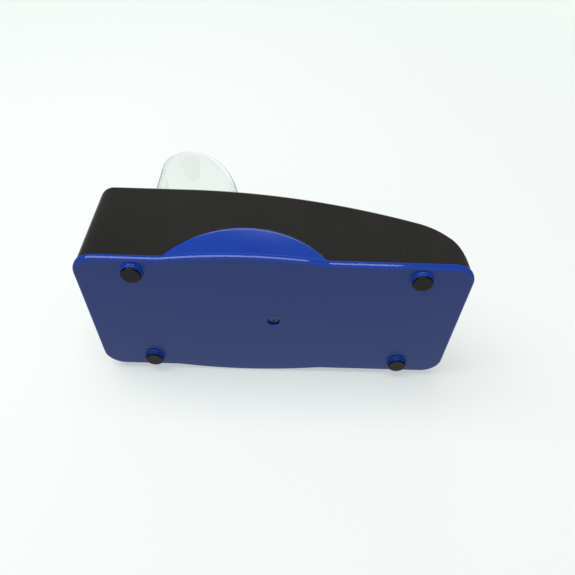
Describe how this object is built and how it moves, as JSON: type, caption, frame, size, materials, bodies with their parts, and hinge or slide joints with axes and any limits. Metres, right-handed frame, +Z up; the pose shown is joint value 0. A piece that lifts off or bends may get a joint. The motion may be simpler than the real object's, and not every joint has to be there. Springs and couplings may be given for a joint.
{
  "type": "carton sealing tape machine",
  "caption": "Benchtop carton sealing tape machine: glossy black housing on a blue base, clear hinged roll guard, rubber feet.",
  "frame": {"origin": "middle of the table face under the rubber feet", "axes": "+X towards the cutter, +Y to the left, +Z up"},
  "size_m": [0.2, 0.0972, 0.12],
  "materials": {
    "blue_plastic": null,
    "black_plastic": null,
    "dark_plastic": null,
    "clear_plastic": null,
    "pad_rubber": null,
    "screw_steel": null,
    "ballast_iron": null,
    "frame_steel": null,
    "axle_steel": null,
    "hub_plastic": null,
    "bush_brass": null,
    "core_cardboard": null,
    "tape_film": null,
    "core_aluminium": null,
    "brake_felt": null,
    "blade_steel": null
  },
  "bodies": {
    "root": {"base_cover": "blue_plastic", "foot_pads": "pad_rubber", "base_screw": "screw_steel", "ballast_weight": "ballast_iron", "ballast_screws": "screw_steel", "upper_housing": "black_plastic", "frame_left": "frame_steel", "frame_right": "frame_steel", "frame_screws": "screw_steel", "tie_bar": "screw_steel", "tape_deck": "dark_plastic", "roll_axle": "axle_steel", "axle_collars": "dark_plastic", "tape_lead": "tape_film", "guide_axle": "axle_steel", "feed_axle": "axle_steel", "brake_pin": "axle_steel", "brake_spring": "axle_steel", "blade_holder": "dark_plastic", "cutter_blade": "blade_steel", "blade_screws": "screw_steel", "blade_guard_pins": "axle_steel", "blade_guard_spring": "axle_steel", "guard_pin": "axle_steel", "guard_bracket": "dark_plastic", "bracket_screws": "screw_steel"},
    "tape_spool": {"hub": "hub_plastic", "hub_flange": "hub_plastic", "hub_bushes": "bush_brass", "tape_core": "core_cardboard", "tape_roll": "tape_film"},
    "guide_roller_body": {"guide_roller": "hub_plastic"},
    "feed_roller_body": {"feed_core": "core_aluminium", "feed_sleeve": "pad_rubber"},
    "brake_lever": {"brake_arm": "dark_plastic", "brake_pad": "brake_felt"},
    "blade_flap": {"blade_guard": "dark_plastic"},
    "clear_guard": {"roll_guard": "clear_plastic"}
  },
  "joints": [
    {"name": "spool_spin", "type": "hinge", "parent": "root", "child": "tape_spool", "pos_m": [-0.048, 0, 0.0415], "axis": [0, 1, 0], "continuous": true},
    {"name": "guide_spin", "type": "hinge", "parent": "root", "child": "guide_roller_body", "pos_m": [0, 0, 0.049], "axis": [0, 1, 0], "continuous": true},
    {"name": "feed_spin", "type": "hinge", "parent": "root", "child": "feed_roller_body", "pos_m": [0.061, 0, 0.0325], "axis": [0, 1, 0], "continuous": true},
    {"name": "brake_swing", "type": "hinge", "parent": "root", "child": "brake_lever", "pos_m": [-0.012, 0, 0.03], "axis": [0, -1, 0], "range_deg": [0, 15], "stiffness_Nm_per_rad": 0.02, "springref_deg": -14.32},
    {"name": "flap_swing", "type": "hinge", "parent": "root", "child": "blade_flap", "pos_m": [0.074, 0, 0.017], "axis": [0, 1, 0], "range_deg": [0, 40], "stiffness_Nm_per_rad": 0.01, "springref_deg": -17.19},
    {"name": "guard_lift", "type": "hinge", "parent": "root", "child": "clear_guard", "pos_m": [-0.078, 0, 0.0648], "axis": [0, -1, 0], "range_deg": [0, 105]}
  ],
  "couplings": [
    {"joint": "guide_spin", "follows": "spool_spin", "ratio": -5},
    {"joint": "feed_spin", "follows": "spool_spin", "ratio": 4.2857}
  ]
}
